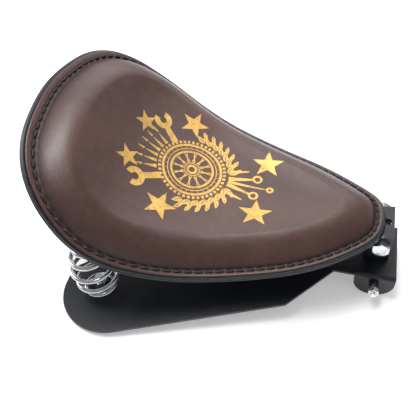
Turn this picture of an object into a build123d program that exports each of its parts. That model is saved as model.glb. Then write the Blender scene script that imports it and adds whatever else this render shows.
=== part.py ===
"""Spring-mounted solo motorcycle seat: a leather seat on a steel pan, hinged at the nose and carried
at the back by two barrel springs on a flat base plate.

Millimetres. +X points to the nose, +Y to the rider's left, +Z up. The origin lies on the underside of
the base plate, straight above the middle of the frame bolt.
"""

import os
from math import asin, atan2, cos, degrees, hypot, radians, sin, sqrt

from build123d import *

os.makedirs("parts", exist_ok=True)

# ---------------------------------------------------------------- seat: overall shape
seat_length = 340.0
seat_width = 270.0
nose_x = -1.5                  # nose tip of the seat, straight above the hinge bolt
nose_height = 52.5             # top face of the pan at the nose tip
nose_angle = 11.0              # how far the pan falls rearwards at the nose, in degrees
saddle_angle = 8.5             # how far it rises where the kick-up starts
kick_angle = 48.5              # rise of the straight tail
kick_length = 125.0            # of the curve that turns the pan up
tail_length = 50.0             # of the straight tail behind it, both in plan

# half of the seat's outline, as shares of its length behind the nose tip and of its half width
outline_shares = [
    (0.0, 0.0),
    (0.012, 0.17),
    (0.075, 0.34),
    (0.19, 0.53),
    (0.34, 0.69),
    (0.52, 0.85),
    (0.68, 0.97),
    (0.79, 1.0),
    (0.90, 0.87),
    (0.965, 0.61),
    (0.993, 0.27),
    (1.0, 0.0),
]

# ---------------------------------------------------------------- seat: layers
pan_wall = 2.6
pan_inset = 1.2                # the steel stops a little inside the lining's edge
cover_inset = 2.0              # and so does the leather on top
lining_wall = 2.0              # black leather under the pan
cover_wall = 2.4
border_width = 9.0             # flat border of leather outside the lacing
pad_rise = 23.0                # ridge of the pad above the pan
pad_dish = 7.0                 # how far the middle of the pad lies under the ridge
shoulder_reach = 27.0          # from the foot of the pad to its ridge
pad_stations = 15              # cross-sections that shape the pad
shoulder_facets = 5            # flats that make each rounded shoulder of a cross-section
pad_end_share = 0.015          # first and last of them, as a share of the outline from nose and tail

stitch_pitch = 10.0
stitch_length = 7.0
stitch_radius = 1.2
stitch_offset = 2.2            # stitch line outside the foot of the pad
stitch_gap = 0.1

# ---------------------------------------------------------------- base plate
plate_wall = 3.0
frame_bolt_drop = 7.5          # frame bolt's axis below the plate's underside
neck_width = 75.0
neck_back = 42.0               # where the neck starts to widen, behind the frame bolt
shoulder_back = 85.0           # where the taper from neck to flank ends
shoulder_width = 180.0
lobe_radius = 50.0
lobe_forward = 9.0             # lobe centre in front of the spring's axis
scallop_radius = 120.0         # hollow between the lobes, round the rear fender
scallop_ahead = 5.0            # its foremost point in front of the springs' axes
ear_radius = 20.5
bend_radius = 4.0
rear_hole_spacing = 110.0
rear_hole_ahead = 37.0         # in front of the springs' axes
rear_hole_diameter = 8.5

# ---------------------------------------------------------------- fasteners
frame_bolt_diameter = 6.0
frame_bolt_flats = 10.0
frame_bolt_head = 4.0
frame_nut_height = 5.2
frame_washer_diameter = 12.5
frame_washer_wall = 1.2
frame_spacer_diameter = 10.0
frame_spacer_length = 8.0      # between the near ear and its nut
hinge_bolt_diameter = 10.0
hinge_bolt_flats = 16.0
hinge_bolt_head = 6.4
hinge_nut_height = 8.4
hinge_washer_diameter = 20.0
hinge_washer_wall = 2.0
small_bolt_diameter = 6.0
small_bolt_flats = 10.0
small_bolt_head = 4.0
small_nut_height = 5.0
nut_lift = 0.1                 # the pan is hollow under a flat nut
nut_pocket_margin = 1.5        # foam cut clear of a nut on the pan
spring_bolt_diameter = 8.0
spring_bolt_flats = 13.0
spring_bolt_head = 3.0
spring_nut_height = 6.5
thread_past_nut = 3.0
hole_clearance = 0.25          # radial, bolts through plain holes
running_clearance = 0.05       # radial, hinge bolt in its bush
thread_clearance = 0.01        # radial, nuts on their bolts

# ---------------------------------------------------------------- hinge
hinge_drop = 18.0              # hinge bolt's axis below the pan's top at the nose tip
bracket_wall = 3.0
bracket_width = 43.4           # over the outsides of its ears
bracket_front = 10.0           # web in front of the hinge bolt
bracket_back = 52.0            # web behind the hinge bolt
bracket_ear_radius = 10.5
bracket_slot_width = 9.0
bracket_slot_length = 14.0
bracket_slot_inset = 2.5       # slot's front end behind the web's front edge
bracket_bolt_first = 25.0      # behind the hinge bolt
bracket_bolt_pitch = 18.0
upright_wall = 3.0
upright_ear_radius = 9.2
upright_foot = 26.0            # along X, on the plate
upright_width = 24.0           # over the outsides of its ears
bush_wall = 1.6
bush_end_gap = 0.1

# ---------------------------------------------------------------- springs
spring_from_tail = 68.5        # springs' axes in front of the seat's tail
spring_from_side = 23.0        # and inside its widest part
spring_drop = 21.3             # top of a spring below the pan's top, on the spring's axis
wire_radius = 2.3
end_coil_radius = 11.5         # to the middle of the wire
middle_coil_radius = 22.5
spring_turns = 5.0
spigot_gap = 0.6               # between an end coil and the plain boss that centres it
spigot_height = 8.0
perch_wall = 3.0
perch_margin = 1.5             # floor of a perch outside the middle of the wire
perch_blank = 46.0             # height of a perch before it is cut to the pan's slope

# ---------------------------------------------------------------- worked out from the sizes above
kick_end = seat_length - tail_length
kick_start = kick_end - kick_length
hinge_x = nose_x
hinge_height = nose_height - hinge_drop
spring_back = seat_length - spring_from_tail
spring_x = nose_x - spring_back
spring_spread = seat_width - 2 * spring_from_side
spigot_radius = end_coil_radius - wire_radius - spigot_gap
perch_radius = end_coil_radius + perch_margin
hinge_axis = Plane(origin=(hinge_x, 0, hinge_height), x_dir=(1, 0, 0), z_dir=(0, 1, 0))
frame_axis = Plane(origin=(0, 0, -frame_bolt_drop), x_dir=(1, 0, 0), z_dir=(0, 1, 0))
plate_bottom = 0.0
plate_top = plate_wall
ear_inside = neck_width / 2 - plate_wall
upright_outside = upright_width / 2
lining_lift = -pan_wall - lining_wall
spring_places = [(spring_x, -spring_spread / 2), (spring_x, spring_spread / 2)]
tall = 4 * seat_length         # larger than the object, for blocks that are cut to shape
outline_steps = 48             # points of a line drawn inside the outline

saddle_radius = kick_start / (sin(radians(nose_angle)) + sin(radians(saddle_angle)))
kick_radius = (kick_end - kick_start) / (sin(radians(kick_angle)) - sin(radians(saddle_angle)))


# ---------------------------------------------------------------- the pan's side profile
def pan_slope(back):
    """Rise of the pan in radians at a distance behind the nose tip."""
    if back < kick_start:
        return asin(back / saddle_radius - sin(radians(nose_angle)))
    if back < kick_end:
        return asin((back - kick_start) / kick_radius + sin(radians(saddle_angle)))
    return radians(kick_angle)


def pan_rise(back):
    """Height of the pan's top face over its nose tip at a distance behind the nose tip."""
    rise = saddle_radius * (cos(radians(nose_angle)) - cos(pan_slope(min(back, kick_start))))
    if back > kick_start:
        rise += kick_radius * (cos(radians(saddle_angle)) - cos(pan_slope(min(back, kick_end))))
    if back > kick_end:
        rise += (back - kick_end) * sin(radians(kick_angle)) / cos(radians(kick_angle))
    return rise


spring_top = nose_height + pan_rise(spring_back) - spring_drop
spring_length = spring_top - plate_top


def on_pan(back, lift):
    """A point in the side view, lifted off the pan's top face along its normal."""
    slope = pan_slope(back)
    return (nose_x - back + lift * sin(slope), nose_height + pan_rise(back) + lift * cos(slope))


def band_face(low, high, front=15.0, back=seat_length + 25.0):
    """Side view of a layer on the pan between two lifts off its top face."""
    with BuildSketch(Plane.XZ) as band:
        with BuildLine():
            ends = []
            for lift in (low, high):
                nose = on_pan(0, lift)
                tip = (
                    nose[0] + front * cos(radians(nose_angle)),
                    nose[1] + front * sin(radians(nose_angle)),
                )
                saddle = on_pan(kick_start, lift)
                kick = on_pan(kick_end, lift)
                tail = on_pan(back, lift)
                Line(tip, nose)
                ThreePointArc(nose, on_pan(kick_start / 2, lift), saddle)
                ThreePointArc(saddle, on_pan((kick_start + kick_end) / 2, lift), kick)
                Line(kick, tail)
                ends.append((tip, tail))
            Line(ends[0][0], ends[1][0])
            Line(ends[0][1], ends[1][1])
        make_face()
    return band.sketch


# ---------------------------------------------------------------- the seat's outline
left_outline = [
    (nose_x - behind * seat_length, across * seat_width / 2) for behind, across in outline_shares
]
right_outline = [(x, -y) for x, y in reversed(left_outline[1:-1])]
seat_outline = Edge.make_spline([Vector(*point) for point in left_outline + right_outline], periodic=True)


def outline_inset(part_way, inset):
    """Point inside the outline at a share of its length, from the nose round by the left, and its direction."""
    along = seat_outline.tangent_at(part_way)
    return seat_outline.position_at(part_way) - Vector(along.Y, -along.X) * inset, along


def outline_face(inset):
    """The seat's outline, or a line inside it, far below the seat."""
    points = [outline_inset(number / outline_steps, inset)[0] for number in range(outline_steps)]
    with BuildSketch(Plane.XY.offset(-tall / 2)) as outline:
        with BuildLine():
            Spline(*points, periodic=True)
        make_face()
    return outline.sketch


def pad_sections(shrink, lift):
    """Cross-sections of the crowned pad from nose to tail, each square to the pan and lifted off it."""
    sections = []
    inset = border_width + shrink
    nose_back = nose_x - outline_inset(0, inset)[0].X
    tail_back = nose_x - outline_inset(0.5, inset)[0].X
    for number in range(pad_stations):
        sweep_share = (1 - cos(radians(180 * number / (pad_stations - 1)))) / 2
        part_way = pad_end_share + (0.5 - 2 * pad_end_share) * sweep_share
        point, _ = outline_inset(part_way, inset)
        back = nose_x - point.X
        slope = pan_slope(back)
        from_end = min(back - nose_back, (tail_back - back) / cos(slope), shoulder_reach)
        rise = (pad_rise - shrink - lift) * sqrt(1 - (1 - from_end / shoulder_reach) ** 2)
        reach = min(shoulder_reach, 0.75 * point.Y)
        dish = pad_dish * rise / pad_rise * reach / shoulder_reach
        x, z = on_pan(back, lift)
        shoulder = []
        for step in range(shoulder_facets + 1):
            angle = radians(90 * step / shoulder_facets)
            shoulder.append((point.Y - reach * (1 - cos(angle)), rise * sin(angle)))
        far_shoulder = [(-across, up) for across, up in reversed(shoulder)]
        square_to_pan = Plane(origin=(x, 0, z), x_dir=(0, 1, 0), z_dir=(cos(slope), 0, -sin(slope)))
        with BuildSketch(square_to_pan) as section:
            with BuildLine():
                Polyline(*shoulder, (0, rise - dish), *far_shoulder, close=True)
            make_face()
        sections.append(section.sketch)
    return sections


# ---------------------------------------------------------------- fasteners and holes
def drill(plane, places, diameter, depth):
    """Round holes along the plane's normal, both ways."""
    with BuildSketch(plane) as holes:
        with Locations(*places):
            Circle(diameter / 2)
    extrude(holes.sketch, amount=depth, both=True, mode=Mode.SUBTRACT)


def hex_bolts(plane, places, diameter, length, flats, head):
    """Hex-head bolts: heads under the plane, shanks along its normal."""
    with BuildSketch(plane) as heads:
        with Locations(*places):
            RegularPolygon(flats / 2, 6, major_radius=False)
    extrude(heads.sketch, amount=-head)
    with BuildSketch(plane) as shanks:
        with Locations(*places):
            Circle(diameter / 2)
    extrude(shanks.sketch, amount=length)


def hex_nuts(plane, places, diameter, flats, height):
    """Hex nuts that stand on the plane."""
    with BuildSketch(plane) as nuts:
        with Locations(*places):
            RegularPolygon(flats / 2, 6, major_radius=False)
            Circle(diameter / 2 + thread_clearance, mode=Mode.SUBTRACT)
    extrude(nuts.sketch, amount=height)


def washers(plane, places, inner, outer, wall):
    """Flat washers that lie on the plane."""
    with BuildSketch(plane) as rings:
        with Locations(*places):
            Circle(outer / 2)
            Circle(inner / 2 + hole_clearance, mode=Mode.SUBTRACT)
    extrude(rings.sketch, amount=wall)


def finish(builder, name):
    builder.part.label = name
    export_step(builder.part, f"parts/{name}.step")


# ================================================================ base side
lobe_x = spring_x + lobe_forward
lobe_y = spring_spread / 2
shoulder = (-shoulder_back, shoulder_width / 2)
to_lobe = hypot(lobe_x - shoulder[0], lobe_y - shoulder[1])
tangent_turn = atan2(lobe_y - shoulder[1], lobe_x - shoulder[0]) - asin(lobe_radius / to_lobe)
tangent_run = sqrt(to_lobe**2 - lobe_radius**2)
flank_end = (
    shoulder[0] + tangent_run * cos(tangent_turn),
    shoulder[1] + tangent_run * sin(tangent_turn),
)
lobe_back = lobe_x - lobe_radius

with BuildPart() as base_plate:
    with BuildSketch(Plane.XY.offset(plate_bottom)):
        with BuildLine():
            Polyline(
                (ear_radius, 0),
                (ear_radius, neck_width / 2 - bend_radius),
                (-ear_radius, neck_width / 2 - bend_radius),
                (-ear_radius, neck_width / 2),
                (-neck_back, neck_width / 2),
                shoulder,
                flank_end,
                (lobe_x, lobe_y),
                (lobe_back, lobe_y),
                (lobe_back, 0),
                (ear_radius, 0),
            )
        make_face()
        with Locations((lobe_x, lobe_y)):
            Circle(lobe_radius)
        with Locations((spring_x + scallop_ahead - scallop_radius, 0)):
            Circle(scallop_radius, mode=Mode.SUBTRACT)
        mirror(about=Plane.XZ)
    extrude(amount=plate_wall)
    with BuildSketch(Plane.YZ.offset(-ear_radius)):
        with BuildLine():
            outer = neck_width / 2
            bend_y = outer - bend_radius
            bend_z = plate_top - bend_radius
            inner_bend = bend_radius - plate_wall
            slant = sqrt(0.5)
            Polyline(
                (bend_y, plate_top),
                (bend_y, plate_bottom),
            )
            ThreePointArc(
                (bend_y, plate_bottom),
                (bend_y + inner_bend * slant, bend_z + inner_bend * slant),
                (ear_inside, bend_z),
            )
            Polyline(
                (ear_inside, bend_z),
                (ear_inside, -frame_bolt_drop),
                (outer, -frame_bolt_drop),
                (outer, bend_z),
            )
            ThreePointArc(
                (outer, bend_z),
                (bend_y + bend_radius * slant, bend_z + bend_radius * slant),
                (bend_y, plate_top),
            )
        make_face()
        mirror(about=Plane.YZ)
    extrude(amount=2 * ear_radius)
    for side in (-1, 1):
        with BuildSketch(frame_axis.offset(side * (neck_width / 2 - plate_wall / 2))):
            Circle(ear_radius)
            with Locations((0, -ear_radius)):
                Rectangle(2 * ear_radius, 2 * ear_radius, mode=Mode.SUBTRACT)
        extrude(amount=plate_wall / 2, both=True)
    drill(frame_axis, [(0, 0)], frame_bolt_diameter + 2 * hole_clearance, neck_width)
    rear_holes = [(spring_x + rear_hole_ahead, side * rear_hole_spacing / 2) for side in (-1, 1)]
    drill(Plane.XY, rear_holes, rear_hole_diameter, tall)
finish(base_plate, "base_plate")

with BuildPart() as hinge_upright:
    with BuildSketch(Plane.XY.offset(plate_top)):
        with Locations((hinge_x, 0)):
            Rectangle(upright_foot, 2 * upright_outside)
    extrude(amount=upright_wall)
    for side in (-1, 1):
        inside = side * (upright_outside - upright_wall)
        with BuildSketch(hinge_axis.offset(inside)):
            Circle(upright_ear_radius)
            foot = hinge_height - plate_top
            Polygon(
                (-upright_ear_radius, 0),
                (upright_ear_radius, 0),
                (upright_foot / 2, foot),
                (-upright_foot / 2, foot),
                align=None,
            )
        extrude(amount=side * upright_wall)
    drill(hinge_axis, [(0, 0)], hinge_bolt_diameter + 2 * running_clearance + 2 * bush_wall, tall)
finish(hinge_upright, "hinge_upright")

with BuildPart() as hinge_bush:
    bush_length = bracket_width - 2 * bracket_wall - 2 * bush_end_gap
    with BuildSketch(hinge_axis.offset(-bush_length / 2)):
        Circle(hinge_bolt_diameter / 2 + running_clearance + bush_wall)
        Circle(hinge_bolt_diameter / 2 + running_clearance, mode=Mode.SUBTRACT)
    extrude(amount=bush_length)
finish(hinge_bush, "hinge_bush")

ear_outside = frame_axis.offset(neck_width / 2)
near_ear_outside = Plane(
    origin=(0, -neck_width / 2, -frame_bolt_drop), x_dir=(1, 0, 0), z_dir=(0, -1, 0)
)

with BuildPart() as frame_bolt_washer:
    washers(ear_outside, [(0, 0)], frame_bolt_diameter, frame_washer_diameter, frame_washer_wall)
finish(frame_bolt_washer, "frame_bolt_washer")

with BuildPart() as frame_bolt_spacer:
    washers(
        near_ear_outside, [(0, 0)], frame_bolt_diameter, frame_spacer_diameter, frame_spacer_length
    )
finish(frame_bolt_spacer, "frame_bolt_spacer")

with BuildPart() as frame_bolt:
    from_head = neck_width / 2 + frame_washer_wall
    past_ears = frame_spacer_length + frame_nut_height + thread_past_nut
    frame_bolt_length = from_head + neck_width / 2 + past_ears
    head_plane = Plane(origin=(0, from_head, -frame_bolt_drop), x_dir=(1, 0, 0), z_dir=(0, -1, 0))
    hex_bolts(
        head_plane, [(0, 0)], frame_bolt_diameter, frame_bolt_length, frame_bolt_flats, frame_bolt_head
    )
finish(frame_bolt, "frame_bolt")

with BuildPart() as frame_bolt_nut:
    nut_plane = near_ear_outside.offset(frame_spacer_length)
    hex_nuts(nut_plane, [(0, 0)], frame_bolt_diameter, frame_bolt_flats, frame_nut_height)
finish(frame_bolt_nut, "frame_bolt_nut")

# ---------------------------------------------------------------- spring seats and springs
with BuildPart() as lower_spring_spigots:
    washers(Plane.XY.offset(plate_top), spring_places, spring_bolt_diameter, 2 * spigot_radius, spigot_height)
finish(lower_spring_spigots, "lower_spring_spigots")

stud_reach = spigot_height + spring_nut_height + thread_past_nut

with BuildPart() as lower_spring_studs:
    with BuildSketch(Plane.XY.offset(plate_top)):
        with Locations(*spring_places):
            Circle(spring_bolt_diameter / 2)
    extrude(amount=stud_reach)
finish(lower_spring_studs, "lower_spring_studs")

with BuildPart() as lower_spring_nuts:
    nut_plane = Plane.XY.offset(plate_top + spigot_height)
    hex_nuts(nut_plane, spring_places, spring_bolt_diameter, spring_bolt_flats, spring_nut_height)
finish(lower_spring_nuts, "lower_spring_nuts")

half_coil_height = spring_length / 2 - wire_radius
coil_pitch = 2 * half_coil_height / spring_turns
barrel_angle = atan2(middle_coil_radius - end_coil_radius, half_coil_height)

for spring_name, (place_x, place_y) in zip(("spring_right", "spring_left"), spring_places):
    coil_start = plate_top + wire_radius
    with BuildPart() as spring:
        with BuildLine():
            lower_coil = Helix(
                coil_pitch,
                half_coil_height,
                end_coil_radius,
                center=(place_x, place_y, coil_start),
                cone_angle=degrees(barrel_angle),
            )
        with BuildSketch(Plane(origin=lower_coil @ 0, z_dir=lower_coil % 0)):
            Circle(wire_radius)
        sweep(is_frenet=True)
        turn_axis = Axis(
            origin=(place_x, place_y, coil_start + half_coil_height),
            direction=(lower_coil @ 1) - Vector(place_x, place_y, coil_start + half_coil_height),
        )
        add(spring.part.rotate(turn_axis, 180))
    finish(spring, spring_name)

# ================================================================ seat side
bracket_bolt_planes = []
for number in range(2):
    back = bracket_bolt_first + number * bracket_bolt_pitch + nose_x - hinge_x
    slope = pan_slope(back)
    x, z = on_pan(back, 0)
    bracket_bolt_planes.append(Plane(origin=(x, 0, z), x_dir=(0, 1, 0), z_dir=(sin(slope), 0, cos(slope))))

with BuildPart() as seat_pan:
    extrude(band_face(-pan_wall, 0), amount=seat_width, both=True)
    extrude(outline_face(pan_inset), amount=tall, mode=Mode.INTERSECT)
    for plane in bracket_bolt_planes:
        drill(plane, [(0, 0)], small_bolt_diameter + 2 * hole_clearance, bracket_width / 2)
finish(seat_pan, "seat_pan")

with BuildPart() as underside_lining:
    extrude(band_face(lining_lift, -pan_wall), amount=seat_width, both=True)
    extrude(outline_face(0), amount=tall, mode=Mode.INTERSECT)
    for plane in bracket_bolt_planes:
        drill(plane, [(0, 0)], small_bolt_diameter + 2 * hole_clearance, bracket_width / 2)
finish(underside_lining, "underside_lining")

with BuildPart() as lacing_thread:
    stitch_inset = border_width - stitch_offset
    stitch_count = round(seat_outline.length / stitch_pitch)
    for number in range(stitch_count):
        point, along = outline_inset(number / stitch_count, stitch_inset)
        slope = pan_slope(nose_x - point.X)
        x, z = on_pan(nose_x - point.X, cover_wall + stitch_radius + stitch_gap)
        direction = Vector(along.X, along.Y, -along.X * sin(slope) / cos(slope)).normalized()
        start = Vector(x, point.Y, z) - direction * stitch_length / 2
        with BuildSketch(Plane(origin=start, z_dir=direction)):
            Circle(stitch_radius)
        extrude(amount=stitch_length)
finish(lacing_thread, "lacing_thread")

# ---------------------------------------------------------------- hinge
with BuildPart() as hinge_bracket:
    extrude(band_face(lining_lift - bracket_wall, lining_lift), amount=bracket_width / 2, both=True)
    with BuildSketch(Plane.XY.offset(-tall / 2)):
        with Locations((hinge_x + (bracket_front - bracket_back) / 2, 0)):
            Rectangle(bracket_front + bracket_back, bracket_width)
    extrude(amount=tall, mode=Mode.INTERSECT)
    for side in (-1, 1):
        with BuildSketch(hinge_axis.offset(side * (bracket_width / 2 - bracket_wall))):
            Circle(bracket_ear_radius)
            Polygon(
                (-bracket_ear_radius, 0),
                (bracket_ear_radius, 0),
                (bracket_front, hinge_height - nose_height),
                (-2 * bracket_ear_radius, hinge_height - nose_height),
                align=None,
            )
        extrude(amount=side * bracket_wall)
    extrude(band_face(lining_lift, nose_height), amount=seat_width, both=True, mode=Mode.SUBTRACT)
    drill(hinge_axis, [(0, 0)], hinge_bolt_diameter + 2 * hole_clearance, tall)
    for plane in bracket_bolt_planes:
        drill(plane, [(0, 0)], small_bolt_diameter + 2 * hole_clearance, bracket_width / 2)
    with BuildSketch(Plane.XY):
        with Locations((hinge_x + bracket_front - bracket_slot_inset - bracket_slot_length / 2, 0)):
            SlotOverall(bracket_slot_length, bracket_slot_width)
    extrude(amount=tall, mode=Mode.SUBTRACT)
finish(hinge_bracket, "hinge_bracket")

with BuildPart() as hinge_washer:
    washer_plane = hinge_axis.offset(bracket_width / 2)
    washers(washer_plane, [(0, 0)], hinge_bolt_diameter, hinge_washer_diameter, hinge_washer_wall)
finish(hinge_washer, "hinge_washer")

with BuildPart() as hinge_nut:
    nut_plane = hinge_axis.offset(bracket_width / 2 + hinge_washer_wall)
    hex_nuts(nut_plane, [(0, 0)], hinge_bolt_diameter, hinge_bolt_flats, hinge_nut_height)
finish(hinge_nut, "hinge_nut")

with BuildPart() as hinge_bolt:
    hinge_bolt_length = bracket_width + hinge_washer_wall + hinge_nut_height + thread_past_nut
    head_plane = hinge_axis.offset(-bracket_width / 2)
    hex_bolts(
        head_plane, [(0, 0)], hinge_bolt_diameter, hinge_bolt_length, hinge_bolt_flats, hinge_bolt_head
    )
finish(hinge_bolt, "hinge_bolt")

with BuildPart() as bracket_bolts:
    for plane in bracket_bolt_planes:
        under_web = plane.offset(lining_lift - bracket_wall)
        grip = bracket_wall - lining_lift
        length = grip + nut_lift + small_nut_height + thread_past_nut
        hex_bolts(under_web, [(0, 0)], small_bolt_diameter, length, small_bolt_flats, small_bolt_head)
finish(bracket_bolts, "bracket_bolts")

with BuildPart() as bracket_nuts:
    for plane in bracket_bolt_planes:
        hex_nuts(plane.offset(nut_lift), [(0, 0)], small_bolt_diameter, small_bolt_flats, small_nut_height)
finish(bracket_nuts, "bracket_nuts")

with BuildPart() as foam_pad:
    loft(pad_sections(cover_wall, 0), ruled=True)
    for plane in bracket_bolt_planes:
        with BuildSketch(plane):
            Circle(small_bolt_flats / 2 + nut_pocket_margin)
        extrude(amount=small_nut_height + thread_past_nut + nut_pocket_margin, mode=Mode.SUBTRACT)
finish(foam_pad, "foam_pad")

with BuildPart() as leather_cover:
    extrude(band_face(0, cover_wall), amount=seat_width, both=True)
    extrude(outline_face(cover_inset), amount=tall, mode=Mode.INTERSECT)
    extrude(outline_face(border_width + cover_wall / 2), amount=tall, mode=Mode.SUBTRACT)
    loft(pad_sections(0, cover_wall / 3), ruled=True)
    loft(pad_sections(cover_wall, 0), ruled=True, mode=Mode.SUBTRACT)
finish(leather_cover, "leather_cover")

# ---------------------------------------------------------------- upper spring seats
with BuildPart() as spring_perches:
    with BuildSketch(Plane.XY.offset(spring_top)):
        with Locations(*spring_places):
            Circle(perch_radius)
    extrude(amount=perch_blank)
    extrude(band_face(lining_lift, perch_blank), amount=seat_width, both=True, mode=Mode.SUBTRACT)
    drill(Plane.XY.offset(spring_top + perch_wall + tall), spring_places, 2 * (perch_radius - perch_wall), tall)
    drill(Plane.XY, spring_places, spring_bolt_diameter + 2 * hole_clearance, tall)
finish(spring_perches, "spring_perches")

with BuildPart() as upper_spring_spigots:
    spigot_plane = Plane.XY.offset(spring_top - spigot_height)
    washers(spigot_plane, spring_places, spring_bolt_diameter, 2 * spigot_radius, spigot_height)
finish(upper_spring_spigots, "upper_spring_spigots")

with BuildPart() as upper_spring_bolts:
    head_seat = Plane(origin=(0, 0, spring_top + perch_wall), x_dir=(1, 0, 0), z_dir=(0, 0, -1))
    mirrored_places = [(x, -y) for x, y in spring_places]
    hex_bolts(
        head_seat,
        mirrored_places,
        spring_bolt_diameter,
        perch_wall + stud_reach,
        spring_bolt_flats,
        spring_bolt_head,
    )
finish(upper_spring_bolts, "upper_spring_bolts")

with BuildPart() as upper_spring_nuts:
    nut_bottom = Plane.XY.offset(spring_top - spigot_height - spring_nut_height)
    hex_nuts(nut_bottom, spring_places, spring_bolt_diameter, spring_bolt_flats, spring_nut_height)
finish(upper_spring_nuts, "upper_spring_nuts")
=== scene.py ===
"""Looks of a spring-mounted solo motorcycle seat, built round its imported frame.

Laid out as an add-on: one operator for each piece or group of like pieces and one for the stage, with
their sizes and colours as properties. Metres, in the frame's axes: +X to the nose, +Y to the rider's
left, +Z up.
"""

import math
from collections import namedtuple

import bmesh
import bpy
import numpy as np
from bpy.props import FloatProperty, FloatVectorProperty, IntProperty, PointerProperty
from mathutils import Matrix, Vector


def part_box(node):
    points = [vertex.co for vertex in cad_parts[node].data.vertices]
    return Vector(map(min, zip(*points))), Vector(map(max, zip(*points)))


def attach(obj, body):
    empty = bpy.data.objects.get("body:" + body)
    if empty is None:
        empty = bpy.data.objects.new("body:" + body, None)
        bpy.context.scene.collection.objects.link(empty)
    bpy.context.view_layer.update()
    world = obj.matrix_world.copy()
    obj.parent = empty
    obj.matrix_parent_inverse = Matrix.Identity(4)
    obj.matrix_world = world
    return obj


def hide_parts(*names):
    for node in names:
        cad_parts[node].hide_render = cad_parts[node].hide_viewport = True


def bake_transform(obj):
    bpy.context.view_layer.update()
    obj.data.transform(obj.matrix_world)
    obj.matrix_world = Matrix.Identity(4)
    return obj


bl_info = {
    "name": "Solo seat",
    "version": (1, 0, 0),
    "blender": (4, 5, 0),
    "location": "View3D > Sidebar > Solo seat",
    "description": "Leather, lacing, foil print, springs and fasteners of a solo motorcycle seat",
    "category": "Object",
}

MM = 0.001

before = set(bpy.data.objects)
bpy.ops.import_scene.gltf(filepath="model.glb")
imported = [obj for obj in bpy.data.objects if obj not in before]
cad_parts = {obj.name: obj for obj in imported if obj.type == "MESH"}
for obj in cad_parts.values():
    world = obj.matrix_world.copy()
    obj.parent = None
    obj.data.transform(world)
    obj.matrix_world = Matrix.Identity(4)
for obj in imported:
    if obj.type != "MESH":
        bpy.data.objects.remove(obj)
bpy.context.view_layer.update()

# ------------------------------------------------------------------ the frame's own shape
HINGE = sum(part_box("hinge_bush"), Vector()) / 2
HALF_WIDTH = 135 * MM
SEAT_LENGTH = 340 * MM
NOSE_X = HINGE.x
NOSE_HEIGHT = HINGE.z + 18 * MM
NOSE_ANGLE, SADDLE_ANGLE, KICK_ANGLE = (math.radians(angle) for angle in (11, 8.5, 48.5))
KICK_START = 165 * MM
KICK_END = 290 * MM
SADDLE_RADIUS = KICK_START / (math.sin(NOSE_ANGLE) + math.sin(SADDLE_ANGLE))
KICK_RADIUS = (KICK_END - KICK_START) / (math.sin(KICK_ANGLE) - math.sin(SADDLE_ANGLE))
PAN_WALL = 2.6 * MM
LINING_WALL = 2 * MM
COVER_WALL = 2.4 * MM
COVER_INSET = 2 * MM
HEM_WALL = 0.6 * MM
STITCHES = 97
MERGE = 1e-6
BROKEN_EDGE = 0.35 * MM

# half of the seat's outline, as shares of its length behind the nose tip and of its half width
OUTLINE_SHARES = [
    (0.0, 0.0),
    (0.012, 0.17),
    (0.075, 0.34),
    (0.19, 0.53),
    (0.34, 0.69),
    (0.52, 0.85),
    (0.68, 0.97),
    (0.79, 1.0),
    (0.90, 0.87),
    (0.965, 0.61),
    (0.993, 0.27),
    (1.0, 0.0),
]


def pan_slope(back):
    """Rise of the pan in radians at distances behind the nose tip."""
    saddle = np.arcsin(np.minimum(back, KICK_START) / SADDLE_RADIUS - math.sin(NOSE_ANGLE))
    past_start = np.clip(back, KICK_START, KICK_END) - KICK_START
    return np.where(back < KICK_START, saddle, np.arcsin(past_start / KICK_RADIUS + math.sin(SADDLE_ANGLE)))


def pan_rise(back):
    """Height of the pan's top over its nose tip at distances behind the nose tip."""
    short_of_kick = KICK_START * 0.999999
    saddle_slope = pan_slope(np.minimum(back, short_of_kick))
    saddle = SADDLE_RADIUS * (math.cos(NOSE_ANGLE) - np.cos(saddle_slope))
    kick = KICK_RADIUS * (math.cos(SADDLE_ANGLE) - np.cos(pan_slope(np.clip(back, KICK_START, KICK_END))))
    return saddle + kick + np.maximum(back - KICK_END, 0) * math.tan(KICK_ANGLE)


def pan_run(back):
    """Length along the pan's side profile from the nose tip."""
    slope = pan_slope(back)
    saddle = SADDLE_RADIUS * (np.minimum(slope, SADDLE_ANGLE) + NOSE_ANGLE)
    kick = KICK_RADIUS * (np.maximum(slope, SADDLE_ANGLE) - SADDLE_ANGLE)
    return saddle + kick + np.maximum(back - KICK_END, 0) / math.cos(KICK_ANGLE)


def on_pan(back, across, lift):
    """Points lifted off the pan's top along its normal."""
    slope = pan_slope(back)
    x = NOSE_X - back + lift * np.sin(slope)
    z = NOSE_HEIGHT + pan_rise(back) + lift * np.cos(slope)
    return np.stack([x, across + 0 * back, z], axis=-1)


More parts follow.
